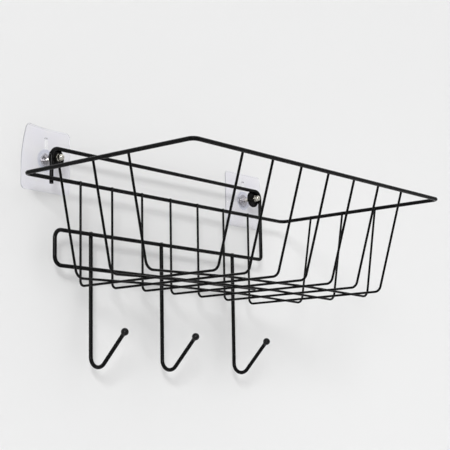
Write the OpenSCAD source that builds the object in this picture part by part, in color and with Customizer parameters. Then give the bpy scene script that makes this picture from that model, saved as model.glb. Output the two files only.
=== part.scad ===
// Wall-hung shower caddy: a wire basket on a bent-wire hanger frame with three utility hooks.
// Two clear adhesive plates hold threaded studs, and cap nuts clamp the hanger discs on them.
// Frame: origin on the wall, midway between the two studs. +X right, +Y into the wall, +Z up.

/* [Basket] */
// Width of the rim, centre to centre of its wire
rim_width = 380; // [300:1:420]
// Depth of the rim, centre to centre of its wire
rim_depth = 198; // [160:1:240]
// Bend radius of the rim corners, on the wire's centre line
rim_corner = 6; // [5:1:20]
// Height from the ends of the floor up to the rim
basket_height = 97.2; // [70:0.1:120]
// How much the floor rises from its ends to its middle
floor_crown = 2.6; // [0.5:0.1:4]
// Spacing of the thin wires, both ways
wire_pitch = 41.4; // [36:0.1:44]
// How much the front face leans out from floor to rim
front_flare = 32.4; // [10:0.1:45]
// How much each end face leans out from floor to rim
end_flare = 24.4; // [10:0.1:40]

/* [Wire] */
// Thickness of the rim, hanger and hook wire
heavy_wire = 3.8; // [3:0.1:4]
// Thickness of the basket's thin wire
thin_wire = 2.3; // [1.8:0.1:2.6]
// How deep a wire sinks into the heavy wire that it is welded to
weld_depth = 0.15; // [0.05:0.05:0.2]
// How deep the crossing thin wires of the floor sink into each other
grid_weld_depth = 0.5; // [0.1:0.1:0.5]

/* [Hanger frame] */
// Distance from the wall to the middle of the rim's back wire
rim_standoff = 22; // [20:0.5:30]
// Drop from the stud axis to the rim
rim_drop = 21.2; // [18:0.1:30]
// Height of the frame's top run above the stud axis
top_rise = 8.3; // [7.5:0.1:8.3]
// Half the width of the frame, centre to centre of its wire
frame_half = 154.5; // [152.5:0.5:154.5]
// Drop from the stud axis to the upper hook bar
upper_bar_drop = 66.5; // [55:0.1:75]
// Drop from the stud axis to the lower hook bar
lower_bar_drop = 99.2; // [90:0.1:115]
// Where the hook bar's closed left end is, from the centre
bar_left_end = -150; // [-156:0.5:-140]
// Where the lower hook bar's free end is, from the centre
bar_free_end = 142; // [125:0.5:150]

/* [Hooks] */
// Places of the three hooks along the bars
hook_places = [-101, -3, 109];
// Drop from the stud axis to the centre of the hook's bend
hook_drop = 180.2; // [160:0.1:200]
// Bend radius of the hook, on the wire's centre line
hook_radius = 10; // [7:0.5:14]
// Angle of the hook's leg above level
hook_leg_angle = 46; // [20:1:70]
// Length of the hook's leg, from its bend to the ball's centre
hook_leg = 38; // [20:1:50]
// Diameter of the ball on the hook's end
hook_ball_d = 7.2; // [6:0.1:9]

/* [Wall fixing] */
// Half the distance between the two studs
stud_half_span = 146; // [146:0.5:147.5]
// Side of the clear adhesive plate
plate_side = 60; // [50:1:70]
// Corner radius of the adhesive plate
plate_corner = 4.5; // [3:0.5:12]
// Thickness of the adhesive plate
plate_thick = 1.2; // [0.8:0.1:2]
// Thickness of the adhesive pad
pad_thick = 0.8; // [0.4:0.1:1.2]
// Outer diameter of the moulded boss at its foot
boss_d = 20; // [18:0.5:24]
// Height of the moulded boss above the plate
boss_rise = 4.5; // [3:0.1:6]
// Diameter of the threaded stud
stud_d = 4; // [3:0.5:5]
// Distance that the stud reaches from the wall
stud_reach = 22.5; // [21.5:0.5:22.5]
// Diameter of the hanger disc
disc_d = 18; // [18:0.5:19]
// Thickness of the hanger disc
disc_thick = 2; // [1.5:0.1:2.5]
// Width across the flats of the cap nut
nut_flats = 6.5; // [6:0.5:8]
// Length of the cap nut
nut_length = 8.5; // [8:0.1:10]

/* [Hidden] */
$fn = 64;

coat = "#141416";
bright_metal = "#c9c9c6";
clear_plastic = "#dfe3ee";
clear_adhesive = "#eef0f4";

cross_count = 7;
back_bend = 5;
front_bend = 7;
end_bend = 9;
floor_half = rim_width / 2 - end_flare;
crown_flat_half = 62;
crown_bend = 200;
frame_bend = 8;
bar_end_bend = 8;
bar_corner_bend = 4;
// A bend is a hair thicker than its straights, which run a little way into it
bend_swell = 0.01;
bend_lap = 0.2;

// Depths from the wall, negative because the caddy stands in front of it
rim_back_y = -rim_standoff;
rim_front_y = rim_back_y - rim_depth;
frame_y = rim_back_y + heavy_wire - weld_depth;
hook_y = frame_y + heavy_wire - weld_depth;
disc_sink = 0.03;
disc_front_y = frame_y + heavy_wire / 2 - disc_sink;

// Heights from the stud axis
stub_overhang = 4;
hook_overhang = 1;
rim_z = -rim_drop;
cross_floor_z = rim_z - basket_height;
long_floor_z = cross_floor_z + thin_wire - grid_weld_depth;
stub_end_z = rim_z - stub_overhang;
hook_top_z = -upper_bar_drop + heavy_wire / 2 + hook_overhang;

// Corner where the hook's shank and leg would meet, and the end of its leg
hook_trim = hook_radius * tan((90 + hook_leg_angle) / 2);
hook_corner = [hook_y, -hook_drop - hook_trim];
hook_tip = hook_corner + (hook_trim + hook_leg) * [-cos(hook_leg_angle), sin(hook_leg_angle)];

// Thin wires are welded inside the rim wire and end just above its middle
inside_rim = (heavy_wire + thin_wire) / 2 - weld_depth;
wire_overrun = 1;

// Cap nut and stud
nut_gap = 0.02;
nut_bore_d = stud_d + 0.1;
nut_bore_depth = 6.6;
nut_hex_height = 3.2;
nut_dome_step = 0.2;
disc_hole_d = stud_d + 0.2;
stud_head_d = 11;
stud_head_thick = 1.4;
stud_chamfer = 0.5;
boss_top_d = 13;
boss_recess_d = 8.4;
boss_recess_depth = 0.8;
rib_width = 4;
rib_rise = 0.8;
rib_top_z = 19.2;
slot_width = 3.2;
slot_height = 1.1;
slot_z = 20.8;
pad_inset = 1;
// How far a cut runs past the solid that it cuts
overcut = 1;

// Height of the crowned floor above its ends
function floor_rise(x) =
    floor_crown * min(1, (floor_half - abs(x)) / (floor_half - crown_flat_half));

// Signed angle from direction a to direction b
function turn_angle(a, b) = atan2(a.x * b.y - a.y * b.x, a * b);
function heading(a, b) = (b - a) / norm(b - a);
function wrap(i, n) = (i % n + n) % n;
function turn_at(points, i) =
    let (n = len(points))
    turn_angle(
        heading(points[wrap(i - 1, n)], points[i]),
        heading(points[i], points[wrap(i + 1, n)])
    );
// Length that a bend takes from each straight that it joins
function bend_trim(points, radii, i) = radii[i] * tan(abs(turn_at(points, i)) / 2);

// How far inside the rim a wire meets it, when it leans out by flare over height
function rim_inset(flare, height) = inside_rim / cos(atan((flare - inside_rim) / height));
// End of a wire that rises from its foot past its weld on the rim
function wire_end(foot, weld) = weld + wire_overrun * heading(foot, weld);

// Straight wire between two points of a flat outline
module straight_wire(from, to, d) {
    translate([from.x, from.y, 0])
        rotate([0, 0, atan2(to.y - from.y, to.x - from.x)])
            rotate([0, 90, 0])
                cylinder(d = d, h = norm(to - from));
}

// Bent wire at one corner of a flat outline
module wire_bend(points, radii, i, d) {
    angle = turn_at(points, i);
    radius = radii[i];
    into = heading(points[wrap(i - 1, len(points))], points[i]);
    start = points[i] - into * bend_trim(points, radii, i);
    side = sign(angle);
    centre = start + side * radius * [-into.y, into.x];
    first = atan2(start.y - centre.y, start.x - centre.x);
    translate([centre.x, centre.y, 0])
        rotate([0, 0, side > 0 ? first : first + angle])
            rotate_extrude(angle = abs(angle))
                translate([radius, 0])
                    circle(d = d + 2 * bend_swell);
}

// Wire that follows a flat outline with one bend radius for each corner
module bent_wire(points, radii, d, closed = false) {
    n = len(points);
    for (i = [0 : n - (closed ? 1 : 2)]) {
        j = wrap(i + 1, n);
        along = heading(points[i], points[j]);
        trim_from = (closed || i > 0) ? bend_trim(points, radii, i) - bend_lap : 0;
        trim_to = (closed || j < n - 1) ? bend_trim(points, radii, j) - bend_lap : 0;
        straight_wire(points[i] + along * trim_from, points[j] - along * trim_to, d);
    }
    for (i = [closed ? 0 : 1 : closed ? n - 1 : n - 2])
        wire_bend(points, radii, i, d);
}

// Places a flat drawing upright along the wall: drawn x and y become X and Z
module along_wall(y) {
    translate([0, y, 0]) rotate([90, 0, 0]) children();
}

// Places a flat drawing upright across the wall: drawn x and y become Y and Z
module across_wall(x) {
    translate([x, 0, 0]) rotate([90, 0, 90]) children();
}

// Places a turned shape on a stud's axis, with its drawn +Z pointing out of the wall
module on_stud(side) {
    translate([side * stud_half_span, 0, 0]) rotate([90, 0, 0]) children();
}

module rim_wire() {
    half = rim_width / 2;
    outline = [
        [-half, rim_back_y],
        [half, rim_back_y],
        [half, rim_front_y],
        [-half, rim_front_y]
    ];
    color(coat)
        translate([0, 0, rim_z])
            bent_wire(outline, [for (p = outline) rim_corner], heavy_wire, closed = true);
}

// U-shaped wire that runs from the back rim, under the floor, to the front rim
module cross_wire(index) {
    x = (index - (cross_count + 1) / 2) * wire_pitch;
    floor_z = cross_floor_z + floor_rise(x);
    back_foot = [rim_back_y - inside_rim, floor_z];
    back_weld = [rim_back_y - inside_rim, rim_z];
    front_foot = [rim_front_y + front_flare, floor_z];
    front_weld = [rim_front_y + rim_inset(front_flare, rim_z - floor_z), rim_z];
    outline = [
        wire_end(back_foot, back_weld),
        back_foot,
        front_foot,
        wire_end(front_foot, front_weld)
    ];
    color(coat)
        across_wall(x)
            bent_wire(outline, [0, back_bend, front_bend, 0], thin_wire);
}

// U-shaped wire that runs from the left rim, over the cross wires, to the right rim
module long_wire(index) {
    crown = [crown_flat_half, long_floor_z + floor_crown];
    foot = [floor_half, long_floor_z];
    weld = [rim_width / 2 - rim_inset(end_flare, rim_z - long_floor_z), rim_z];
    end = wire_end(foot, weld);
    outline = [
        [-end.x, end.y],
        [-foot.x, foot.y],
        [-crown.x, crown.y],
        crown,
        foot,
        end
    ];
    color(coat)
        along_wall(rim_back_y - index * wire_pitch)
            bent_wire(outline, [0, end_bend, crown_bend, crown_bend, end_bend, 0], thin_wire);
}

// One wire: left stub, top run, right side, upper hook bar, closed left end, lower hook bar
module hanger_frame() {
    outline = [
        [-frame_half, stub_end_z],
        [-frame_half, top_rise],
        [frame_half, top_rise],
        [frame_half, -upper_bar_drop],
        [bar_left_end, -upper_bar_drop],
        [bar_left_end, -lower_bar_drop],
        [bar_free_end, -lower_bar_drop]
    ];
    radii = [0, frame_bend, frame_bend, bar_corner_bend, bar_end_bend, bar_end_bend, 0];
    color(coat)
        along_wall(frame_y)
            bent_wire(outline, radii, heavy_wire);
}

// Shank behind the hook bars, round bend under them, and a leg that rises to the front
module hook(index) {
    color(coat)
        across_wall(hook_places[index])
            bent_wire([[hook_y, hook_top_z], hook_corner, hook_tip], [0, hook_radius, 0], heavy_wire);
}

// Ball on the end of a hook, with a blind socket for the wire
module hook_ball(index) {
    color(coat)
        across_wall(hook_places[index])
            difference() {
                translate(hook_tip) sphere(d = hook_ball_d);
                straight_wire(hook_corner, hook_tip, heavy_wire);
            }
}

// Disc welded behind the frame's upper corner, drilled for the stud
module hanger_disc(side) {
    color(coat)
        on_stud(side)
            translate([0, 0, -disc_front_y - disc_thick])
                difference() {
                    cylinder(d = disc_d, h = disc_thick);
                    translate([0, 0, -overcut])
                        cylinder(d = disc_hole_d, h = disc_thick + 2 * overcut);
                }
}

// Hexagonal foot with a domed cap and a blind bore
module cap_nut(side) {
    foot = -disc_front_y + nut_gap;
    dome_r = nut_flats / 2 - nut_dome_step;
    color(bright_metal)
        on_stud(side)
            translate([0, 0, foot])
                difference() {
                    union() {
                        cylinder(d = nut_flats / cos(30), h = nut_hex_height, $fn = 6);
                        cylinder(r = dome_r, h = nut_length - dome_r);
                        translate([0, 0, nut_length - dome_r]) sphere(r = dome_r);
                    }
                    translate([0, 0, -overcut])
                        cylinder(d = nut_bore_d, h = nut_bore_depth + overcut);
                }
}

// Threaded stud with a flat head that is moulded into the boss
module stud(side) {
    color(bright_metal)
        on_stud(side) {
            translate([0, 0, pad_thick]) cylinder(d = stud_head_d, h = stud_head_thick);
            translate([0, 0, pad_thick + stud_head_thick])
                cylinder(d = stud_d, h = stud_reach - pad_thick - stud_head_thick - stud_chamfer);
            translate([0, 0, stud_reach - stud_chamfer])
                cylinder(d1 = stud_d, d2 = stud_d - 2 * stud_chamfer, h = stud_chamfer);
        }
}

module rounded_square(side_length, corner, height) {
    straight = side_length - 2 * corner;
    union() {
        translate([-side_length / 2, -straight / 2, 0]) cube([side_length, straight, height]);
        translate([-straight / 2, -side_length / 2, 0]) cube([straight, side_length, height]);
        for (x = [-straight / 2, straight / 2], y = [-straight / 2, straight / 2])
            translate([x, y, 0]) cylinder(r = corner, h = height);
    }
}

// Clear plate with a boss round the stud, a rib above it and a small slot
module adhesive_plate(side) {
    plate_top = pad_thick + plate_thick;
    boss_top = plate_top + boss_rise;
    color(clear_plastic, 0.5)
        on_stud(side)
            difference() {
                union() {
                    translate([0, 0, pad_thick])
                        rounded_square(plate_side, plate_corner, plate_thick);
                    translate([0, 0, plate_top])
                        cylinder(d1 = boss_d, d2 = boss_top_d, h = boss_rise);
                    translate([-rib_width / 2, 0, pad_thick])
                        cube([rib_width, rib_top_z, plate_thick + rib_rise]);
                }
                translate([0, 0, pad_thick - overcut])
                    cylinder(d = stud_head_d, h = stud_head_thick + overcut);
                cylinder(d = stud_d, h = boss_top + overcut);
                translate([0, 0, boss_top - boss_recess_depth])
                    cylinder(d = boss_recess_d, h = boss_recess_depth + overcut);
                translate([-slot_width / 2, slot_z - slot_height / 2, 0])
                    cube([slot_width, slot_height, plate_top + overcut]);
            }
}

// Clear adhesive pad between the plate and the wall
module adhesive_pad(side) {
    color(clear_adhesive, 0.6)
        on_stud(side)
            rounded_square(plate_side - 2 * pad_inset, plate_corner - pad_inset, pad_thick);
}

module cross_wire_1() cross_wire(1);
module cross_wire_2() cross_wire(2);
module cross_wire_3() cross_wire(3);
module cross_wire_4() cross_wire(4);
module cross_wire_5() cross_wire(5);
module cross_wire_6() cross_wire(6);
module cross_wire_7() cross_wire(7);
module long_wire_back() long_wire(1);
module long_wire_middle() long_wire(2);
module long_wire_front() long_wire(3);
module hook_left() hook(0);
module hook_middle() hook(1);
module hook_right() hook(2);
module hook_ball_left() hook_ball(0);
module hook_ball_middle() hook_ball(1);
module hook_ball_right() hook_ball(2);
module hanger_disc_left() hanger_disc(-1);
module hanger_disc_right() hanger_disc(1);
module cap_nut_left() cap_nut(-1);
module cap_nut_right() cap_nut(1);
module stud_left() stud(-1);
module stud_right() stud(1);
module adhesive_plate_left() adhesive_plate(-1);
module adhesive_plate_right() adhesive_plate(1);
module adhesive_pad_left() adhesive_pad(-1);
module adhesive_pad_right() adhesive_pad(1);

rim_wire();
cross_wire_1();
cross_wire_2();
cross_wire_3();
cross_wire_4();
cross_wire_5();
cross_wire_6();
cross_wire_7();
long_wire_back();
long_wire_middle();
long_wire_front();
hanger_frame();
hook_left();
hook_middle();
hook_right();
hook_ball_left();
hook_ball_middle();
hook_ball_right();
hanger_disc_left();
hanger_disc_right();
cap_nut_left();
cap_nut_right();
stud_left();
stud_right();
adhesive_plate_left();
adhesive_plate_right();
adhesive_pad_left();
adhesive_pad_right();
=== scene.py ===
"""Shower caddy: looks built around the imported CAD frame. All lengths are in metres.

The caddy hangs in front of a wall at y = 0. +X is right, +Y goes into the wall and +Z is up.
"""

import math

import bmesh
import bpy
from mathutils import Matrix, Vector, noise
from mathutils.bvhtree import BVHTree
from mathutils.geometry import intersect_ray_tri


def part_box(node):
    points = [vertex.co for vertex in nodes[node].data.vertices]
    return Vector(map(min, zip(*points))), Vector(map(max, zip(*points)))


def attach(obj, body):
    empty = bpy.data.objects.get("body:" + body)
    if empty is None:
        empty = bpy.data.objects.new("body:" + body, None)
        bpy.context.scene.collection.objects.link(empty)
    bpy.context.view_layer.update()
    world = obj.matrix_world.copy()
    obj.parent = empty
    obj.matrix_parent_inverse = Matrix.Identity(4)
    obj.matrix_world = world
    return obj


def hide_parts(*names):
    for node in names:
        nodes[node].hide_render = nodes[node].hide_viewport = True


MM = 0.001
OUT_OF_WALL = Vector((0, -1, 0))
UP = Vector((0, 0, 1))

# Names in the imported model
SIDES = ("left", "right")
FIXINGS = "wall_fixings"
CADDY = "caddy"
HOOKS = ("left", "middle", "right")
CROSS_WIRES = [f"cross_wire_{i}" for i in range(1, 8)]
LONG_WIRES = ["long_wire_back", "long_wire_middle", "long_wire_front"]
HOOK_WIRES = [f"hook_{hook}" for hook in HOOKS]
WIRES = ["rim_wire", "hanger_frame"] + CROSS_WIRES + LONG_WIRES + HOOK_WIRES

# Camera: where it aims, its bearing from +Y towards +X, its upward tilt, roll, distance and lens
AIM = Vector((-0.0308, -0.1200, -0.0611))
BEARING = math.radians(50.72)
TILT_UP = math.radians(9.21)
ROLL = math.radians(-1.0)
DISTANCE = 1.163
LENS_MM = 100.2
SENSOR_MM = 36

# Room and its light
WALL_GAP = 0.1 * MM
ROOM_HALF = 4.0
ROOM_TOP = 3.0
FLOOR_Z = -0.75
WALL_GREY = 0.84
FLOOR_GREY = 0.8
SOFT_BOX_BELOW = 0.17
SOFT_BOX_ABOVE = 0.81
SOFT_BOX_BAND = 0.6
LAMP_DISTANCE = 3.0

# Wire, as in the frame: radii, the hooks' legs, the frame's stub and its free bar end
HEAVY_R = 1.9 * MM
THIN_R = 1.15 * MM
HOOK_LEG_ANGLE = math.radians(46)
STUB_END_Z = -25.2 * MM
BAR_FREE_END = 142 * MM

# Boss of the clear plates, and the painted shade over its cone: a darker ring that stands in for
# the shade its refraction throws
STUD_HALF_SPAN = 146 * MM
BOSS_FOOT_R = 10 * MM
BOSS_TOP_R = 6.5 * MM
BOSS_SHADE_REACH = 11 * MM
BOSS_SHADE_INNER = (0.96, 0.96, 0.98)
BOSS_PAINTED_SHADE = (0.80, 0.82, 0.90)

# Most of a noise's values lie between these
NOISE_LOW = 0.3
NOISE_HIGH = 0.7

# Points of a mesh that lie closer than this are one point
SAME_POINT = 0.001 * MM


# ---------------------------------------------------------------- material nodes


def new_material(name):
    """A new material with its node tree and its Principled shader."""
    material = bpy.data.materials.new(name)
    material.use_nodes = True
    tree = material.node_tree
    return material, tree, tree.nodes["Principled BSDF"]


def object_place(tree):
    """Where a point lies in the piece's own coordinates."""
    return tree.nodes.new("ShaderNodeTexCoord").outputs["Object"]


def add_noise(tree, scale, detail):
    """3-D noise on object coordinates: scale is in features per metre."""
    texture = tree.nodes.new("ShaderNodeTexNoise")
    texture.inputs["Scale"].default_value = scale
    texture.inputs["Detail"].default_value = detail
    tree.links.new(object_place(tree), texture.inputs["Vector"])
    return texture.outputs["Fac"]


def add_math(tree, operation, first, second=0.0):
    """One sum on a socket's value and, where the operation needs it, a second number."""
    node = tree.nodes.new("ShaderNodeMath")
    node.operation = operation
    tree.links.new(first, node.inputs[0])
    node.inputs[1].default_value = second
    return node.outputs[0]


def add_range(tree, source, low, high):
    """Maps the middle of a noise's spread to low..high."""
    node = tree.nodes.new("ShaderNodeMapRange")
    node.inputs["From Min"].default_value = NOISE_LOW
    node.inputs["From Max"].default_value = NOISE_HIGH
    node.inputs["To Min"].default_value = low
    node.inputs["To Max"].default_value = high
    tree.links.new(source, node.inputs["Value"])
    return node.outputs["Result"]


def add_ramp(tree, source, dark, light):
    """Colour that runs from dark to light over the middle of a noise's spread."""
    node = tree.nodes.new("ShaderNodeValToRGB")
    first, last = node.color_ramp.elements
    first.position = NOISE_LOW
    first.color = (*dark, 1)
    last.position = NOISE_HIGH
    last.color = (*light, 1)
    tree.links.new(source, node.inputs["Fac"])
    return node.outputs["Color"]


def add_bump(tree, source, depth, strength, below=None):
    """Bump of the given depth, on top of another bump where below is that bump's normal."""
    node = tree.nodes.new("ShaderNodeBump")
    node.inputs["Distance"].default_value = depth
    node.inputs["Strength"].default_value = strength
    tree.links.new(source, node.inputs["Height"])
    if below is not None:
        tree.links.new(below, node.inputs["Normal"])
    return node.outputs["Normal"]


def boss_distance(tree):
    """Distance from the nearer stud's axis, in the plane of the wall."""
    parts = tree.nodes.new("ShaderNodeSeparateXYZ")
    tree.links.new(object_place(tree), parts.inputs[0])
    side = add_math(tree, "ABSOLUTE", parts.outputs["X"])
    across = add_math(tree, "SUBTRACT", side, STUD_HALF_SPAN)
    flat = tree.nodes.new("ShaderNodeCombineXYZ")
    tree.links.new(across, flat.inputs["X"])
    tree.links.new(parts.outputs["Z"], flat.inputs["Y"])
    length = tree.nodes.new("ShaderNodeVectorMath")
    length.operation = "LENGTH"
    tree.links.new(flat.outputs[0], length.inputs[0])
    return length.outputs["Value"]


def paint_boss_shade(tree, color):
    """Painted shade: darkens a colour in a ring over the boss's cone, standing in for the shade its
    refraction throws.
    """
    ramp = tree.nodes.new("ShaderNodeValToRGB")
    distance = add_math(tree, "MULTIPLY", boss_distance(tree), 1 / BOSS_SHADE_REACH)
    tree.links.new(distance, ramp.inputs["Fac"])
    first, last = ramp.color_ramp.elements
    first.color = (*BOSS_SHADE_INNER, 1)
    first.position = 0.9 * BOSS_TOP_R / BOSS_SHADE_REACH
    last.color = (1, 1, 1, 1)
    last.position = 1
    # The deep colour of painted shade runs from just outside the boss top to near its foot
    for radius in (1.1 * BOSS_TOP_R, 0.94 * BOSS_FOOT_R):
        element = ramp.color_ramp.elements.new(radius / BOSS_SHADE_REACH)
        element.color = (*BOSS_PAINTED_SHADE, 1)
    mix = tree.nodes.new("ShaderNodeMix")
    mix.data_type = "RGBA"
    mix.blend_type = "MULTIPLY"
    mix.inputs["Factor"].default_value = 1.0
    first_color, second_color = [socket for socket in mix.inputs if socket.type == "RGBA"]
    tree.links.new(color, first_color)
    tree.links.new(ramp.outputs["Color"], second_color)
    return next(socket for socket in mix.outputs if socket.type == "RGBA")


def let_light_through(material):
    """Clear plastic throws almost no shadow, so lamps and soft light reach what is behind it."""
    tree = material.node_tree
    path = tree.nodes.new("ShaderNodeLightPath")
    clear = tree.nodes.new("ShaderNodeBsdfTransparent")
    surface = tree.nodes["Principled BSDF"].outputs[0]
    for kind in ("Is Shadow Ray", "Is Diffuse Ray"):
        mix = tree.nodes.new("ShaderNodeMixShader")
        tree.links.new(path.outputs[kind], mix.inputs[0])
        tree.links.new(surface, mix.inputs[1])
        tree.links.new(clear.outputs[0], mix.inputs[2])
        surface = mix.outputs[0]
    tree.links.new(surface, tree.nodes["Material Output"].inputs["Surface"])


# ---------------------------------------------------------------- materials

PLATE_IOR = 1.2


def powder_coat():
    """Satin black powder coat: orange peel, fine grain and faint cloudiness."""
    material, tree, shader = new_material("black_powder_coat")
    dark = (0.0004, 0.0004, 0.0005)
    light = (0.0014, 0.0014, 0.0016)
    color = add_ramp(tree, add_noise(tree, 60, 4), dark, light)
    roughness = add_range(tree, add_noise(tree, 420, 2), 0.20, 0.30)
    peel = add_bump(tree, add_noise(tree, 1300, 1), 0.05 * MM, 0.2)
    grain = add_bump(tree, add_noise(tree, 5000, 1), 0.008 * MM, 0.15, below=peel)
    tree.links.new(color, shader.inputs["Base Color"])
    tree.links.new(roughness, shader.inputs["Roughness"])
    tree.links.new(grain, shader.inputs["Normal"])
    shader.inputs["Specular IOR Level"].default_value = 0.11
    return material


def ball_plastic():
    """Glossy black plastic with a faint moulding ripple."""
    material, tree, shader = new_material("black_ball_plastic")
    dark = (0.0015, 0.0015, 0.0015)
    light = (0.004, 0.004, 0.0045)
    color = add_ramp(tree, add_noise(tree, 150, 3), dark, light)
    roughness = add_range(tree, add_noise(tree, 700, 2), 0.12, 0.22)
    ripple = add_bump(tree, add_noise(tree, 500, 1), 0.05 * MM, 0.3)
    tree.links.new(color, shader.inputs["Base Color"])
    tree.links.new(roughness, shader.inputs["Roughness"])
    tree.links.new(ripple, shader.inputs["Normal"])
    shader.inputs["Specular IOR Level"].default_value = 0.22
    return material


def plated_metal(name, dark, light, roughness):
    """Bright plating with faint polishing marks."""
    material, tree, shader = new_material(name)
    color = add_ramp(tree, add_noise(tree, 300, 3), dark, light)
    spread = add_range(tree, add_noise(tree, 1800, 2), roughness * 0.6, roughness * 1.5)
    marks = add_bump(tree, add_noise(tree, 4000, 3), 0.01 * MM, 0.25)
    tree.links.new(color, shader.inputs["Base Color"])
    tree.links.new(spread, shader.inputs["Roughness"])
    tree.links.new(marks, shader.inputs["Normal"])
    shader.inputs["Metallic"].default_value = 1.0
    return material


def clear_plastic(name, dark, light, roughness, ripple, ior, boss=False):
    """Clear plastic with faint flow lines of the given depth, and a ring of painted shade over a
    boss.
    """
    material, tree, shader = new_material(name)
    color = add_ramp(tree, add_noise(tree, 60, 2), dark, light)
    if boss:
        color = paint_boss_shade(tree, color)
    spread = add_range(tree, add_noise(tree, 500, 2), roughness * 0.6, roughness * 1.5)
    flow = add_bump(tree, add_noise(tree, 110, 1), ripple, 0.5)
    tree.links.new(color, shader.inputs["Base Color"])
    tree.links.new(spread, shader.inputs["Roughness"])
    tree.links.new(flow, shader.inputs["Normal"])
    shader.inputs["Transmission Weight"].default_value = 1.0
    shader.inputs["IOR"].default_value = ior
    let_light_through(material)
    return material


def hazy_plastic(name, color, roughness, transmission):
    """Clear plastic that scatters light: the plate's edges, the slot's walls and the rib, where the
    slot's dark grey is painted shade.
    """
    material, tree, shader = new_material(name)
    dark = [0.94 * part for part in color]
    shade = add_ramp(tree, add_noise(tree, 900, 2), dark, color)
    spread = add_range(tree, add_noise(tree, 2500, 2), roughness * 0.8, roughness * 1.2)
    grain = add_bump(tree, add_noise(tree, 3000, 1), 0.01 * MM, 0.2)
    tree.links.new(shade, shader.inputs["Base Color"])
    tree.links.new(spread, shader.inputs["Roughness"])
    tree.links.new(grain, shader.inputs["Normal"])
    shader.inputs["Transmission Weight"].default_value = transmission
    shader.inputs["IOR"].default_value = PLATE_IOR
    let_light_through(material)
    return material


def matt_paint(name, grey):
    """Even matt grey for the wall and the floor."""
    material, _, shader = new_material(name)
    shader.inputs["Base Color"].default_value = (grey, grey, grey, 1)
    shader.inputs["Roughness"].default_value = 0.9
    shader.inputs["Specular IOR Level"].default_value = 0.1
    return material


# ---------------------------------------------------------------- mesh helpers


def finish_piece(name, bm, material, body, sharp_angle):
    """Turns a bmesh into a smooth-shaded piece that rides on a body."""
    bmesh.ops.recalc_face_normals(bm, faces=bm.faces)
    mesh = bpy.data.meshes.new(name)
    bm.to_mesh(mesh)
    bm.free()
    mesh.shade_smooth()
    mesh.set_sharp_from_angle(angle=math.radians(sharp_angle))
    mesh.materials.append(material)
    piece = bpy.data.objects.new(name, mesh)
    bpy.context.scene.collection.objects.link(piece)
    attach(piece, body)
    return piece


def quarter_turn(steps):
    """Angles from 0 to a right angle."""
    return [math.pi / 2 * step / steps for step in range(steps + 1)]


def rounded(corners, steps=5):
    """Outline through (across, along, radius) corners, each turned into an arc of that radius."""
    outline = [Vector(corners[0][:2])]
    for before, here, after in zip(corners, corners[1:], corners[2:]):
        place = Vector(here[:2])
        radius = here[2]
        if radius == 0:
            outline.append(place)
            continue
        back = (Vector(before[:2]) - place).normalized()
        onward = (Vector(after[:2]) - place).normalized()
        half = back.angle(onward) / 2
        centre = place + (back + onward).normalized() * radius / math.sin(half)
        start = place + back * radius / math.tan(half) - centre
        turn = math.copysign(math.pi - 2 * half, onward.cross(back))
        for step in range(steps + 1):
            angle = turn * step / steps
            spoke = Matrix.Rotation(angle, 2) @ start
            outline.append(centre + spoke)
    outline.append(Vector(corners[-1][:2]))
    return outline


def axes_across(axis):
    """Two directions square to an axis and to each other."""
    side = axis.cross(UP)
    if side.length < 0.1:
        side = axis.cross(Vector((1, 0, 0)))
    side.normalize()
    return side, axis.cross(side).normalized()


def add_rings(bm, rings):
    """Skins rings of points, one face strip between each two. A one-point ring is a pole."""
    made = [[bm.verts.new(point) for point in ring] for ring in rings]
    for low, high in zip(made, made[1:]):
        count = max(len(low), len(high))
        for i in range(count):
            j = (i + 1) % count
            if len(low) == 1:
                bm.faces.new((low[0], high[i], high[j]))
            elif len(high) == 1:
                bm.faces.new((low[i], low[j], high[0]))
            else:
                bm.faces.new((low[i], low[j], high[j], high[i]))


def lathe(bm, profile, base, axis, columns, radius_at=None):
    """Turned shape: profile holds (radius, height) along an axis from base.

    radius_at(radius, height, angle) gives the radius where it changes round the axis.
    """
    side, other = axes_across(axis)
    rings = []
    for radius, height in profile:
        if radius < 1e-9:
            rings.append([base + axis * height])
            continue
        ring = []
        for i in range(columns):
            angle = 2 * math.pi * i / columns
            reach = radius if radius_at is None else radius_at(radius, height, angle)
            spoke = side * math.cos(angle) + other * math.sin(angle)
            ring.append(base + axis * height + spoke * reach)
        rings.append(ring)
    add_rings(bm, rings)


# ---------------------------------------------------------------- wall fixings

PLATE_HALF = 30 * MM
PLATE_CORNER = 4.5 * MM
PLATE_BACK = 0.8 * MM
PLATE_FRONT = 2.0 * MM
PLATE_EDGE_R = 0.25 * MM
PLATE_COLUMNS = 288
PLATE_FRONT_SHARES = (0.15, 0.3, 0.45, 0.6, 0.75, 0.9)
PLATE_BACK_SHARES = (0.85, 0.7, 0.55, 0.4, 0.2)
EDGE_STEPS = 4
FLAT_START = BOSS_FOOT_R + 1.2 * MM
FLAT_RINGS = 16
BOSS_TOP = 6.5 * MM
BOSS_RECESS_R = 4.2 * MM
BOSS_RECESS_FLOOR = 5.7 * MM
POCKET_R = 5.55 * MM
POCKET_TOP = 2.25 * MM
STUD_FIT = 0.02 * MM
RIB_HALF = 2 * MM
RIB_SIDE = 0.7 * MM
RIB_RISE = 0.8 * MM
RIB_END = 19.2 * MM
SLOT_HALF = Vector((1.6, 0.55)) * MM
SLOT_CORNER = 0.35 * MM
SLOT_MARGIN = 1.2
SLOT_MIDDLE = 20.8 * MM
PAD_HALF = 29 * MM
PAD_CORNER = 3.5 * MM
PAD_FRONT = 0.72 * MM
PAD_EDGE_R = 0.15 * MM
PAD_SHARES = (0.15, 0.35, 0.5, 0.65, 0.8, 0.9)
# The left plate bows away from the wall towards its top left corner
BOW_START = 15.6 * MM
BOW_END = 42.4 * MM
BOW_LIFT = 8 * MM
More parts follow.
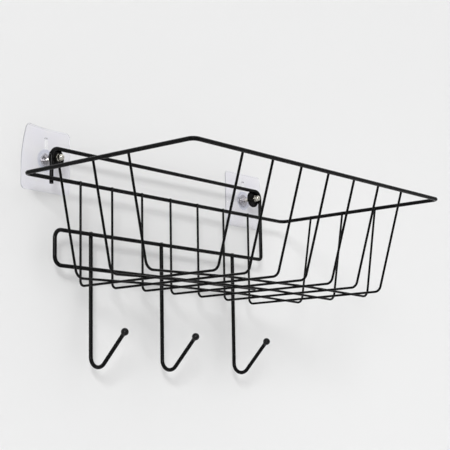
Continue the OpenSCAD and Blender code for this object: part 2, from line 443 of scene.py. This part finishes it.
# Studs
STUD_R = 2 * MM
STUD_HEAD_R = 5.5 * MM
STUD_HEAD_TOP = 2.2 * MM
STUD_TIP = 22.5 * MM
STUD_CHAMFER = 0.5 * MM
THREAD_PITCH = 0.7 * MM
THREAD_DEPTH = 0.38 * MM
THREAD_START = 6.2 * MM
THREAD_ROWS = 8
# How much slimmer the chamfer starts than the shank, so that the thread leaves it alone
TIP_STEP = 0.012 * MM


def rounded_square_reach(angle, half, corner):
    """Distance from the centre to the edge of a rounded square, in one direction."""
    across = abs(math.cos(angle))
    along = abs(math.sin(angle))
    inner = half - corner
    reach = half / max(across, along)
    if reach * min(across, along) <= inner:
        return reach
    middle = inner * (across + along)
    return middle + math.sqrt(middle**2 - 2 * inner**2 + corner**2)


def ease(value):
    """Smooth step from 0 to 1."""
    value = min(max(value, 0), 1)
    return value * value * (3 - 2 * value)


def rib_height(across, up):
    """How much the moulded rib above the boss raises the plate's front there."""
    if up < 0:
        return 0
    sides = ease((RIB_HALF - abs(across)) / RIB_SIDE)
    end = ease((RIB_END - up) / RIB_SIDE)
    return RIB_RISE * sides * end


def plate_ring(reach_at, height):
    """Ring of (reach, height) at each of a plate's columns."""
    return [(reach_at(2 * math.pi * i / PLATE_COLUMNS), height) for i in range(PLATE_COLUMNS)]


def circle_ring(radius, height):
    return plate_ring(lambda angle: radius, height)


def outline_ring(half, corner, inset, height):
    """Ring along a rounded square, set in from its edge."""

    def reach(angle):
        return rounded_square_reach(angle, half - inset, corner - inset)

    return plate_ring(reach, height)


def blended_ring(radius, half, corner, inset, share, height):
    """Ring part of the way from a circle out to the rounded square."""

    def reach(angle):
        edge = rounded_square_reach(angle, half - inset, corner - inset)
        return radius + (edge - radius) * share

    return plate_ring(reach, height)


def edge_rings(half, corner, edge_radius, front, back):
    """Edge of a plate from its front face round to its back face, where it is half as round."""
    back_radius = edge_radius / 2
    rings = []
    for angle in quarter_turn(EDGE_STEPS):
        inset = edge_radius * (1 - math.sin(angle))
        height = front - edge_radius * (1 - math.cos(angle))
        rings.append(outline_ring(half, corner, inset, height))
    for angle in quarter_turn(EDGE_STEPS):
        inset = back_radius * (1 - math.cos(angle))
        height = back + back_radius * (1 - math.sin(angle))
        rings.append(outline_ring(half, corner, inset, height))
    return rings


def bow_lift(across, up):
    """How far the bowed plate stands off the wall there: it bends along its diagonal."""
    along = (up - across) / math.sqrt(2)
    share = max(0, (along - BOW_START) / (BOW_END - BOW_START))
    return BOW_LIFT * share**2


def place_rings(rings, stud_x, raise_by=None):
    """Rings of (reach, height) per column, set on the wall round a stud.

    raise_by(across, up) lifts the front face. The left stud's plate and film are bowed as well.
    """
    bowed = stud_x < 0
    front_from = 1.5 * PLATE_BACK
    placed = []
    for ring in rings:
        points = []
        for i, (reach, height) in enumerate(ring):
            angle = 2 * math.pi * i / len(ring)
            across = reach * math.cos(angle)
            up = reach * math.sin(angle)
            lift = raise_by(across, up) if raise_by and height > front_from else 0
            out = max(height, PLATE_FRONT + lift) if lift else height
            if bowed:
                out += bow_lift(across, up)
            points.append(Vector((stud_x + across, -out, up)))
        placed.append(points)
    return placed


def boss_profile():
    """From the stud's hole over the recess, rim and cone of the boss to the plate's front."""
    return rounded(
        [
            (STUD_R + STUD_FIT, BOSS_RECESS_FLOOR, 0),
            (BOSS_RECESS_R, BOSS_RECESS_FLOOR, 0.35 * MM),
            (BOSS_RECESS_R + 0.15 * MM, BOSS_TOP, 0.3 * MM),
            (BOSS_TOP_R, BOSS_TOP, 0.7 * MM),
            (BOSS_FOOT_R, PLATE_FRONT, 0.9 * MM),
            (FLAT_START, PLATE_FRONT, 0),
        ],
        steps=6,
    )


def cut_slot(piece, stud_x):
    """Cuts the small slot above the rib right through the plate."""
    bm = bmesh.new()
    bmesh.ops.create_cube(bm, size=1)
    size = Matrix.Diagonal((2 * SLOT_HALF.x, 6 * PLATE_FRONT, 2 * SLOT_HALF.y, 1))
    place = Matrix.Translation((stud_x, 0, SLOT_MIDDLE))
    bmesh.ops.transform(bm, matrix=place @ size, verts=bm.verts)
    through = [e for e in bm.edges if abs(e.verts[0].co.y - e.verts[1].co.y) > PLATE_FRONT]
    bmesh.ops.bevel(bm, geom=through, offset=SLOT_CORNER, segments=3, affect="EDGES")
    mesh = bpy.data.meshes.new("slot_cutter")
    bm.to_mesh(mesh)
    bm.free()
    cutter = bpy.data.objects.new("slot_cutter", mesh)
    bpy.context.scene.collection.objects.link(cutter)
    boolean = piece.modifiers.new("slot", "BOOLEAN")
    boolean.operation = "DIFFERENCE"
    boolean.object = cutter
    graph = bpy.context.evaluated_depsgraph_get()
    result = bpy.data.meshes.new_from_object(piece.evaluated_get(graph))
    piece.modifiers.clear()
    piece.data = result
    result.shade_smooth()
    result.set_sharp_from_angle(angle=math.radians(30))
    bpy.data.objects.remove(cutter)


def paint_plate(piece, stud_x, edge, slot_wall_painted_shade, rib):
    """Gives the plate's edge, the slot's walls and the rib their own hazy materials; the slot's
    walls are dark with painted shade.
    """
    for material in (edge, slot_wall_painted_shade, rib):
        piece.data.materials.append(material)
    for face in piece.data.polygons:
        across = abs(face.center.x - stud_x)
        up = face.center.z
        square_to_wall = abs(face.normal.y) < 0.7
        faces_room = face.normal.y < -0.1
        from_slot = abs(up - SLOT_MIDDLE)
        if square_to_wall and max(across, abs(up)) > PLATE_HALF - PLATE_CORNER:
            face.material_index = 1
        # The slot's walls take the dark material of painted shade
        elif (
            square_to_wall
            and across < SLOT_MARGIN * SLOT_HALF.x
            and from_slot < SLOT_MARGIN * SLOT_HALF.y
        ):
            face.material_index = 2
        elif faces_room and across < RIB_HALF and BOSS_FOOT_R < up < RIB_END:
            face.material_index = 3


def build_plate(side, stud_x, material, edge, slot_wall_painted_shade, rib):
    """Clear plate: boss, flat front with the rib, rounded edge, back, and the head's pocket."""
    half = PLATE_HALF
    corner = PLATE_CORNER
    rings = [circle_ring(radius, height) for radius, height in boss_profile()]
    flat_end = RIB_END + 0.6 * MM
    for step in range(1, FLAT_RINGS + 1):
        radius = FLAT_START + (flat_end - FLAT_START) * step / FLAT_RINGS
        rings.append(circle_ring(radius, PLATE_FRONT))
    for share in PLATE_FRONT_SHARES:
        rings.append(blended_ring(flat_end, half, corner, PLATE_EDGE_R, share, PLATE_FRONT))
    rings += edge_rings(half, corner, PLATE_EDGE_R, PLATE_FRONT, PLATE_BACK)
    for share in PLATE_BACK_SHARES:
        rings.append(blended_ring(POCKET_R, half, corner, 0, share, PLATE_BACK))
    rings.append(circle_ring(POCKET_R, PLATE_BACK))
    rings.append(circle_ring(POCKET_R, POCKET_TOP))
    rings.append(circle_ring(STUD_R + STUD_FIT, POCKET_TOP))
    rings.append(rings[0])
    bm = bmesh.new()
    add_rings(bm, place_rings(rings, stud_x, rib_height))
    bmesh.ops.remove_doubles(bm, verts=bm.verts, dist=SAME_POINT)
    piece = finish_piece(f"clear_plate_{side}", bm, material, FIXINGS, 30)
    cut_slot(piece, stud_x)
    paint_plate(piece, stud_x, edge, slot_wall_painted_shade, rib)
    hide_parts(f"adhesive_plate_{side}")


def build_pad(side, stud_x, material):
    """Clear adhesive film with slightly rounded edges."""

    def ring(share, height):
        return blended_ring(0, PAD_HALF, PAD_CORNER, PAD_EDGE_R, share, height)

    rings = [ring(share, PAD_FRONT) for share in PAD_SHARES]
    rings += edge_rings(PAD_HALF, PAD_CORNER, PAD_EDGE_R, PAD_FRONT, 0)
    rings += [ring(share, 0) for share in reversed(PAD_SHARES)]
    front_middle = [Vector((stud_x, -PAD_FRONT, 0))]
    back_middle = [Vector((stud_x, 0, 0))]
    bm = bmesh.new()
    add_rings(bm, [front_middle] + place_rings(rings, stud_x) + [back_middle])
    piece = finish_piece(f"adhesive_film_{side}", bm, material, FIXINGS, 50)
    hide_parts(f"adhesive_pad_{side}")


def thread_reach(radius, height, angle):
    """Radius of the thread there: a V groove that climbs one pitch each turn."""
    if height < THREAD_START or radius < STUD_R - TIP_STEP / 2:
        return radius
    turns = height / THREAD_PITCH - angle / (2 * math.pi)
    groove = abs(2 * (turns - math.floor(turns)) - 1)
    start = ease((height - THREAD_START) / THREAD_PITCH)
    end = ease((STUD_TIP - 0.4 * MM - height) / (0.5 * THREAD_PITCH))
    return radius - THREAD_DEPTH * (1 - min(groove * 1.15, 1)) * start * end


def build_stud(side, stud_x, material):
    """Threaded stud on a flat head with a rounded rim."""
    head = rounded(
        [
            (0, PLATE_BACK, 0),
            (STUD_HEAD_R, PLATE_BACK, 0.2 * MM),
            (STUD_HEAD_R, STUD_HEAD_TOP, 0.35 * MM),
            (STUD_R, STUD_HEAD_TOP, 0.2 * MM),
            (STUD_R, THREAD_START, 0),
        ],
        steps=4,
    )
    shank_end = STUD_TIP - STUD_CHAMFER
    count = int((shank_end - THREAD_START) / THREAD_PITCH * THREAD_ROWS)
    step = THREAD_PITCH / THREAD_ROWS
    shank = [(STUD_R, THREAD_START + step * row) for row in range(1, count)]
    tip = [(STUD_R - TIP_STEP, shank_end), (STUD_R - STUD_CHAMFER, STUD_TIP), (0, STUD_TIP)]
    bm = bmesh.new()
    profile = [tuple(point) for point in head] + shank + tip
    lathe(bm, profile, Vector((stud_x, 0, 0)), OUT_OF_WALL, 40, thread_reach)
    piece = finish_piece(f"threaded_stud_{side}", bm, material, FIXINGS, 50)
    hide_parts(f"stud_{side}")


# ---------------------------------------------------------------- cap nuts and discs

NUT_FLAT_R = 3.25 * MM
NUT_HEX_TOP = 3.2 * MM
NUT_DOME_R = 3.05 * MM
NUT_LENGTH = 8.5 * MM
NUT_CHAMFER_R = 3.35 * MM
NUT_CHAMFER_DEPTH = 0.34 * MM
NUT_CHAMFER_SLOPE = 1.4
NUT_DOME_STEPS = 14
NUT_BORE_R = 2.05 * MM
NUT_BORE_TOP = 6.6 * MM
DISC_R = 9 * MM
DISC_HOLE_R = 2.1 * MM
DISC_EDGE_R = 0.55 * MM
DISC_HOLE_EDGE_R = 0.25 * MM


def hex_reach(radius, height, angle):
    """Radius of a hexagon whose corners are trimmed by the profile's own radius."""
    if radius <= NUT_FLAT_R or height > NUT_HEX_TOP + 0.3 * MM:
        return radius
    off_flat = (angle % (math.pi / 3)) - math.pi / 6
    return min(NUT_FLAT_R / math.cos(off_flat), radius)


def nut_profile():
    """From the bore over the foot, the chamfered hexagon and the dome to its top."""
    corner_r = NUT_FLAT_R / math.cos(math.pi / 6)
    bore = [
        (0, NUT_BORE_TOP),
        (NUT_BORE_R, NUT_BORE_TOP - 0.6 * MM),
        (NUT_BORE_R, 0.45 * MM),
        (NUT_BORE_R + 0.4 * MM, 0),
    ]
    chamfer = [(NUT_CHAMFER_R + NUT_CHAMFER_SLOPE * drop, drop) for drop in (0, 0.1 * MM, 0.2 * MM)]
    chamfer.append((corner_r, NUT_CHAMFER_DEPTH))
    top_chamfer = [(radius, NUT_HEX_TOP - drop) for radius, drop in reversed(chamfer)]
    collar = [
        (NUT_DOME_R + 0.12 * MM, NUT_HEX_TOP + 0.03 * MM),
        (NUT_DOME_R, NUT_HEX_TOP + 0.2 * MM),
    ]
    dome_base = NUT_LENGTH - NUT_DOME_R
    dome = [
        (NUT_DOME_R * math.cos(angle), dome_base + NUT_DOME_R * math.sin(angle))
        for angle in quarter_turn(NUT_DOME_STEPS)[:-1]
    ]
    return bore + chamfer + top_chamfer + collar + dome + [(0, NUT_LENGTH)]


def build_nut(side, material):
    """Domed hexagon nut on its stud."""
    low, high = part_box(f"cap_nut_{side}")
    foot = Vector(((low.x + high.x) / 2, high.y, (low.z + high.z) / 2))
    bm = bmesh.new()
    lathe(bm, nut_profile(), foot, OUT_OF_WALL, 96, hex_reach)
    name = f"cap_nut_{side}"
    piece = finish_piece(f"domed_nut_{side}", bm, material, name, 25)
    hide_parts(name)


def build_disc(side, material):
    """Stamped disc with rolled edges, drilled for the stud."""
    low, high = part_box(f"hanger_disc_{side}")
    thick = high.y - low.y
    back = Vector(((low.x + high.x) / 2, high.y, (low.z + high.z) / 2))
    middle = (DISC_R + DISC_HOLE_R) / 2
    profile = rounded(
        [
            (middle, 0, 0),
            (DISC_R, 0, DISC_EDGE_R),
            (DISC_R, thick, DISC_EDGE_R),
            (DISC_HOLE_R, thick, DISC_HOLE_EDGE_R),
            (DISC_HOLE_R, 0, DISC_HOLE_EDGE_R),
            (middle, 0, 0),
        ]
    )
    bm = bmesh.new()
    lathe(bm, [tuple(point) for point in profile], back, OUT_OF_WALL, 72)
    bmesh.ops.remove_doubles(bm, verts=bm.verts, dist=SAME_POINT)
    piece = finish_piece(f"stamped_disc_{side}", bm, material, CADDY, 40)
    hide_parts(f"hanger_disc_{side}")


# ---------------------------------------------------------------- hook balls, wire ends, welds

BALL_STEPS = 28
SOCKET_R = 0.9 * HEAVY_R
END_COAT = 0.03 * MM
END_LAP = 0.8 * MM
WELD_REACH = 4 * MM
BEAD_MARGIN = 0.75 * MM
BEAD_RISE = 0.25 * MM
BEAD_FLATNESS = 0.45
BEAD_LUMP = 0.12


def build_ball(hook, material):
    """Moulded ball with a short neck where the wire goes in."""
    low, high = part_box(f"hook_ball_{hook}")
    centre = (low + high) / 2
    radius = (high.x - low.x) / 2
    leg = Vector((0, -math.cos(HOOK_LEG_ANGLE), math.sin(HOOK_LEG_ANGLE)))
    neck_r = HEAVY_R + 0.35 * MM
    neck_angle = math.asin(neck_r / radius)
    neck_start = -radius - 0.5 * MM
    socket_end = -0.6 * radius
    profile = [(0, socket_end), (SOCKET_R, socket_end), (SOCKET_R, neck_start)]
    profile += [(HEAVY_R + 0.08 * MM, neck_start), (HEAVY_R + 0.2 * MM, neck_start + 0.25 * MM)]
    for step in range(BALL_STEPS):
        angle = neck_angle + (math.pi - neck_angle) * step / BALL_STEPS
        profile.append((radius * math.sin(angle), -radius * math.cos(angle)))
    profile.append((0, radius))
    bm = bmesh.new()
    lathe(bm, profile, centre, leg, 48)
    piece = finish_piece(f"moulded_ball_{hook}", bm, material, CADDY, 60)
    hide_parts(f"hook_ball_{hook}")


def wire_ends():
    """(place, direction, radius) of each cut wire end, worked out from the nodes' boxes."""
    ends = []
    for name in CROSS_WIRES:
        low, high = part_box(name)
        x = (low.x + high.x) / 2
        ends.append((Vector((x, high.y - THIN_R, high.z)), UP, THIN_R))
    frame_low, frame_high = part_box("hanger_frame")
    frame_y = (frame_low.y + frame_high.y) / 2
    for name in HOOK_WIRES:
        low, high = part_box(name)
        ends.append((Vector(((low.x + high.x) / 2, high.y - HEAVY_R, high.z)), UP, HEAVY_R))
    stub = Vector((frame_low.x + HEAVY_R, frame_y, STUB_END_Z))
    bar_end = Vector((BAR_FREE_END, frame_y, frame_low.z + HEAVY_R))
    ends.append((stub, -UP, HEAVY_R))
    ends.append((bar_end, Vector((1, 0, 0)), HEAVY_R))
    return ends


def build_wire_ends(material):
    """Coat that has run a little thicker and rounder over each cut wire end."""
    bm = bmesh.new()
    for place, direction, radius in wire_ends():
        outside = radius + END_COAT
        profile = rounded(
            [
                (0, -END_LAP, 0),
                (0.9 * radius, -END_LAP, 0),
                (outside, -0.5 * MM, 0.1 * MM),
                (outside, 0.18 * MM, 0.45 * radius),
                (0, 0.25 * MM, 0),
            ]
        )
        lathe(bm, [tuple(point) for point in profile], place, direction, 32)
    finish_piece("coated_wire_ends", bm, material, CADDY, 60)


def triangles(node):
    """World triangles of a CAD node."""
    mesh = node.data
    mesh.calc_loop_triangles()
    return [[mesh.vertices[i].co for i in tri.vertices] for tri in mesh.loop_triangles]


def edge_hits(first, second):
    """Points where the edges of one triangle pass through another."""
    hits = []
    for i in range(3):
        start = first[i]
        along = first[(i + 1) % 3] - start
        hit = intersect_ray_tri(*second, along, start, True)
        if hit is None:
            continue
        to_hit = hit - start
        if to_hit.dot(along) >= 0 and to_hit.length <= along.length:
            hits.append(hit)
    return hits


def touching_points(first, second):
    """Points where two wires run into each other, with the first wire's outward normals."""
    first_tris = first["tris"]
    second_tris = second["tris"]
    points = []
    for i, j in first["tree"].overlap(second["tree"]):
        a = first_tris[i]
        b = second_tris[j]
        normal = (a[1] - a[0]).cross(a[2] - a[0]).normalized()
        for hit in edge_hits(a, b) + edge_hits(b, a):
            points.append((hit, normal))
    return points


def clusters(points, reach):
    """Groups points that lie within reach of a group's first point."""
    groups = []
    for point in points:
        for group in groups:
            if (point[0] - group[0][0]).length < reach:
                group.append(point)
                break
        else:
            groups.append([point])
    return groups


def weld_places(nodes):
    """(place, direction from the first wire to the second, size) of each weld."""
    solids = {}
    for name in WIRES:
        tris = triangles(nodes[name])
        corners = [co for tri in tris for co in tri]
        faces = [(i, i + 1, i + 2) for i in range(0, len(corners), 3)]
        solids[name] = {"tris": tris, "tree": BVHTree.FromPolygons(corners, faces)}
    places = []
    for i, first in enumerate(WIRES):
        for second in WIRES[i + 1 :]:
            points = touching_points(solids[first], solids[second])
            for group in clusters(points, WELD_REACH):
                centre = sum((hit for hit, _ in group), Vector()) / len(group)
                normal = sum((outward for _, outward in group), Vector()).normalized()
                spread = max((hit - centre).length for hit, _ in group)
                places.append((centre, normal, spread))
    return places


def add_bead(bm, centre, normal, spread):
    """Low lumpy bead of weld metal under the coat, in the corner between two wires."""
    wide = spread + BEAD_MARGIN
    high = BEAD_FLATNESS * spread + BEAD_RISE
    side, other = axes_across(normal)
    made = bmesh.ops.create_icosphere(bm, subdivisions=3, radius=1)
    for vert in made["verts"]:
        unit = vert.co.copy()
        lump = 1 + BEAD_LUMP * noise.noise(unit * 1.6 + centre * 700)
        out = side * unit.x * wide + other * unit.y * wide + normal * unit.z * high
        vert.co = centre + out * lump


def build_welds(nodes, material):
    """A bead wherever two wires run into each other."""
    bm = bmesh.new()
    for centre, normal, spread in weld_places(nodes):
        add_bead(bm, centre, normal, spread)
    finish_piece("weld_beads", bm, material, CADDY, 70)


# ---------------------------------------------------------------- stage


def one_sided(material):
    """Lets a surface be looked through from behind, so that views from there show the caddy."""
    tree = material.node_tree
    geometry = tree.nodes.new("ShaderNodeNewGeometry")
    clear = tree.nodes.new("ShaderNodeBsdfTransparent")
    mix = tree.nodes.new("ShaderNodeMixShader")
    tree.links.new(geometry.outputs["Backfacing"], mix.inputs[0])
    tree.links.new(tree.nodes["Principled BSDF"].outputs[0], mix.inputs[1])
    tree.links.new(clear.outputs[0], mix.inputs[2])
    tree.links.new(mix.outputs[0], tree.nodes["Material Output"].inputs["Surface"])
    return material


def stage_plane(name, corners, material):
    """One flat four-cornered surface of the stage."""
    mesh = bpy.data.meshes.new(name)
    mesh.from_pydata(corners, [], [(0, 1, 2, 3)])
    mesh.materials.append(material)
    plane = bpy.data.objects.new(name, mesh)
    bpy.context.scene.collection.objects.link(plane)


def build_room():
    """Wall just behind the caddy and floor far below it."""
    far = ROOM_HALF
    wall = [(-far, FLOOR_Z), (far, FLOOR_Z), (far, ROOM_TOP), (-far, ROOM_TOP)]
    wall_paint = one_sided(matt_paint("wall_paint", WALL_GREY))
    stage_plane("wall", [(x, WALL_GAP, z) for x, z in wall], wall_paint)
    floor = [(-far, -far), (far, -far), (far, far), (-far, far)]
    floor_paint = one_sided(matt_paint("floor_paint", FLOOR_GREY))
    stage_plane("floor", [(x, y, FLOOR_Z) for x, y in floor], floor_paint)


def build_world():
    """Soft box: bright above, dimmer below, and pale grey where the camera sees past everything."""
    world = bpy.data.worlds.new("studio")
    bpy.context.scene.world = world
    world.use_nodes = True
    tree = world.node_tree
    box_light = tree.nodes["Background"]
    direction = tree.nodes.new("ShaderNodeTexCoord")
    split = tree.nodes.new("ShaderNodeSeparateXYZ")
    level = tree.nodes.new("ShaderNodeMapRange")
    level.inputs["From Min"].default_value = -SOFT_BOX_BAND
    level.inputs["From Max"].default_value = SOFT_BOX_BAND
    level.inputs["To Min"].default_value = SOFT_BOX_BELOW
    level.inputs["To Max"].default_value = SOFT_BOX_ABOVE
    tree.links.new(direction.outputs["Generated"], split.inputs[0])
    tree.links.new(split.outputs["Z"], level.inputs["Value"])
    tree.links.new(level.outputs["Result"], box_light.inputs["Strength"])
    box_light.inputs["Color"].default_value = (1, 1, 1, 1)
    pale = tree.nodes.new("ShaderNodeBackground")
    pale.inputs["Color"].default_value = (WALL_GREY, WALL_GREY, WALL_GREY, 1)
    path = tree.nodes.new("ShaderNodeLightPath")
    mix = tree.nodes.new("ShaderNodeMixShader")
    tree.links.new(path.outputs["Is Camera Ray"], mix.inputs[0])
    tree.links.new(box_light.outputs[0], mix.inputs[1])
    tree.links.new(pale.outputs[0], mix.inputs[2])
    tree.links.new(mix.outputs[0], tree.nodes["World Output"].inputs["Surface"])


def soft_sun(name, bearing, height, spread, strength):
    """Large soft light far off: bearing from straight out of the wall towards +X, in degrees."""
    data = bpy.data.lights.new(name, "SUN")
    data.angle = math.radians(spread)
    data.energy = strength
    lamp = bpy.data.objects.new(name, data)
    turn = math.radians(bearing)
    rise = math.radians(height)
    towards = Vector(
        (math.sin(turn) * math.cos(rise), -math.cos(turn) * math.cos(rise), math.sin(rise))
    )
    lamp.rotation_euler = towards.to_track_quat("Z", "Y").to_euler()
    lamp.location = towards * LAMP_DISTANCE
    bpy.context.scene.collection.objects.link(lamp)


def build_lights():
    """Key from the left, a little above the caddy, and a weak wide fill from above."""
    soft_sun("key", bearing=-50, height=14.5, spread=13, strength=1.34)
    soft_sun("top_fill", bearing=30, height=50, spread=60, strength=0.35)


def build_camera():
    """Camera that looks at AIM from DISTANCE away, with no shift and no depth of field."""
    ahead = Vector(
        (
            math.sin(BEARING) * math.cos(TILT_UP),
            math.cos(BEARING) * math.cos(TILT_UP),
            math.sin(TILT_UP),
        )
    )
    level = ahead.cross(UP).normalized()
    right = level * math.cos(ROLL) + level.cross(ahead) * math.sin(ROLL)
    up = right.cross(ahead)
    data = bpy.data.cameras.new("camera")
    data.lens = LENS_MM
    data.sensor_width = SENSOR_MM
    camera = bpy.data.objects.new("camera", data)
    axes = Matrix((right, up, -ahead)).transposed().to_4x4()
    camera.matrix_world = Matrix.Translation(AIM - ahead * DISTANCE) @ axes
    bpy.context.scene.collection.objects.link(camera)
    bpy.context.scene.camera = camera


# ---------------------------------------------------------------- build

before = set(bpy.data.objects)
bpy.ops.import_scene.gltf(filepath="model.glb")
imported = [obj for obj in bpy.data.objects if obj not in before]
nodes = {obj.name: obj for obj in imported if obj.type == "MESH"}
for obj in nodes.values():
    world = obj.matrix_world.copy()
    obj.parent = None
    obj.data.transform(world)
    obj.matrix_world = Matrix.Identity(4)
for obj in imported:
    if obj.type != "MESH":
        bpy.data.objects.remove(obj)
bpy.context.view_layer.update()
bpy.context.scene.view_settings.view_transform = "Standard"

build_camera()
build_room()
build_world()
build_lights()

coat = powder_coat()
for wire in WIRES:
    nodes[wire].data.materials.clear()
    nodes[wire].data.materials.append(coat)
build_welds(nodes, coat)
build_wire_ends(coat)

ball = ball_plastic()
for hook in HOOKS:
    build_ball(hook, ball)

nickel = plated_metal("bright_nickel", (0.46, 0.44, 0.39), (0.64, 0.62, 0.56), 0.13)
zinc = plated_metal("bright_zinc", (0.58, 0.56, 0.52), (0.66, 0.64, 0.60), 0.28)
# boss=True paints the darker ring of shade over each boss
plate = clear_plastic(
    "clear_plate", (0.955, 0.948, 1.0), (0.975, 0.968, 1.0), 0.08, 0.06 * MM, PLATE_IOR, boss=True
)
plate_edge = hazy_plastic("clear_plate_edge", (0.80, 0.80, 0.86), 0.4, 0.55)
# Painted shade: the slot's walls are dark grey and stand in for the shade inside the narrow slot
slot_wall_painted_shade = hazy_plastic("clear_plate_slot_painted_shade", (0.16, 0.16, 0.18), 0.4, 0.2)
rib = hazy_plastic("clear_plate_rib", (0.98, 0.98, 1.0), 0.3, 0.55)
film = clear_plastic("clear_adhesive", (0.99, 0.99, 1), (1, 1, 1), 0.15, 0.03 * MM, 1.03)
for side in SIDES:
    low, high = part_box(f"stud_{side}")
    stud_x = (low.x + high.x) / 2
    build_plate(side, stud_x, plate, plate_edge, slot_wall_painted_shade, rib)
    build_pad(side, stud_x, film)
    build_stud(side, stud_x, zinc)
    build_nut(side, nickel)
    build_disc(side, coat)
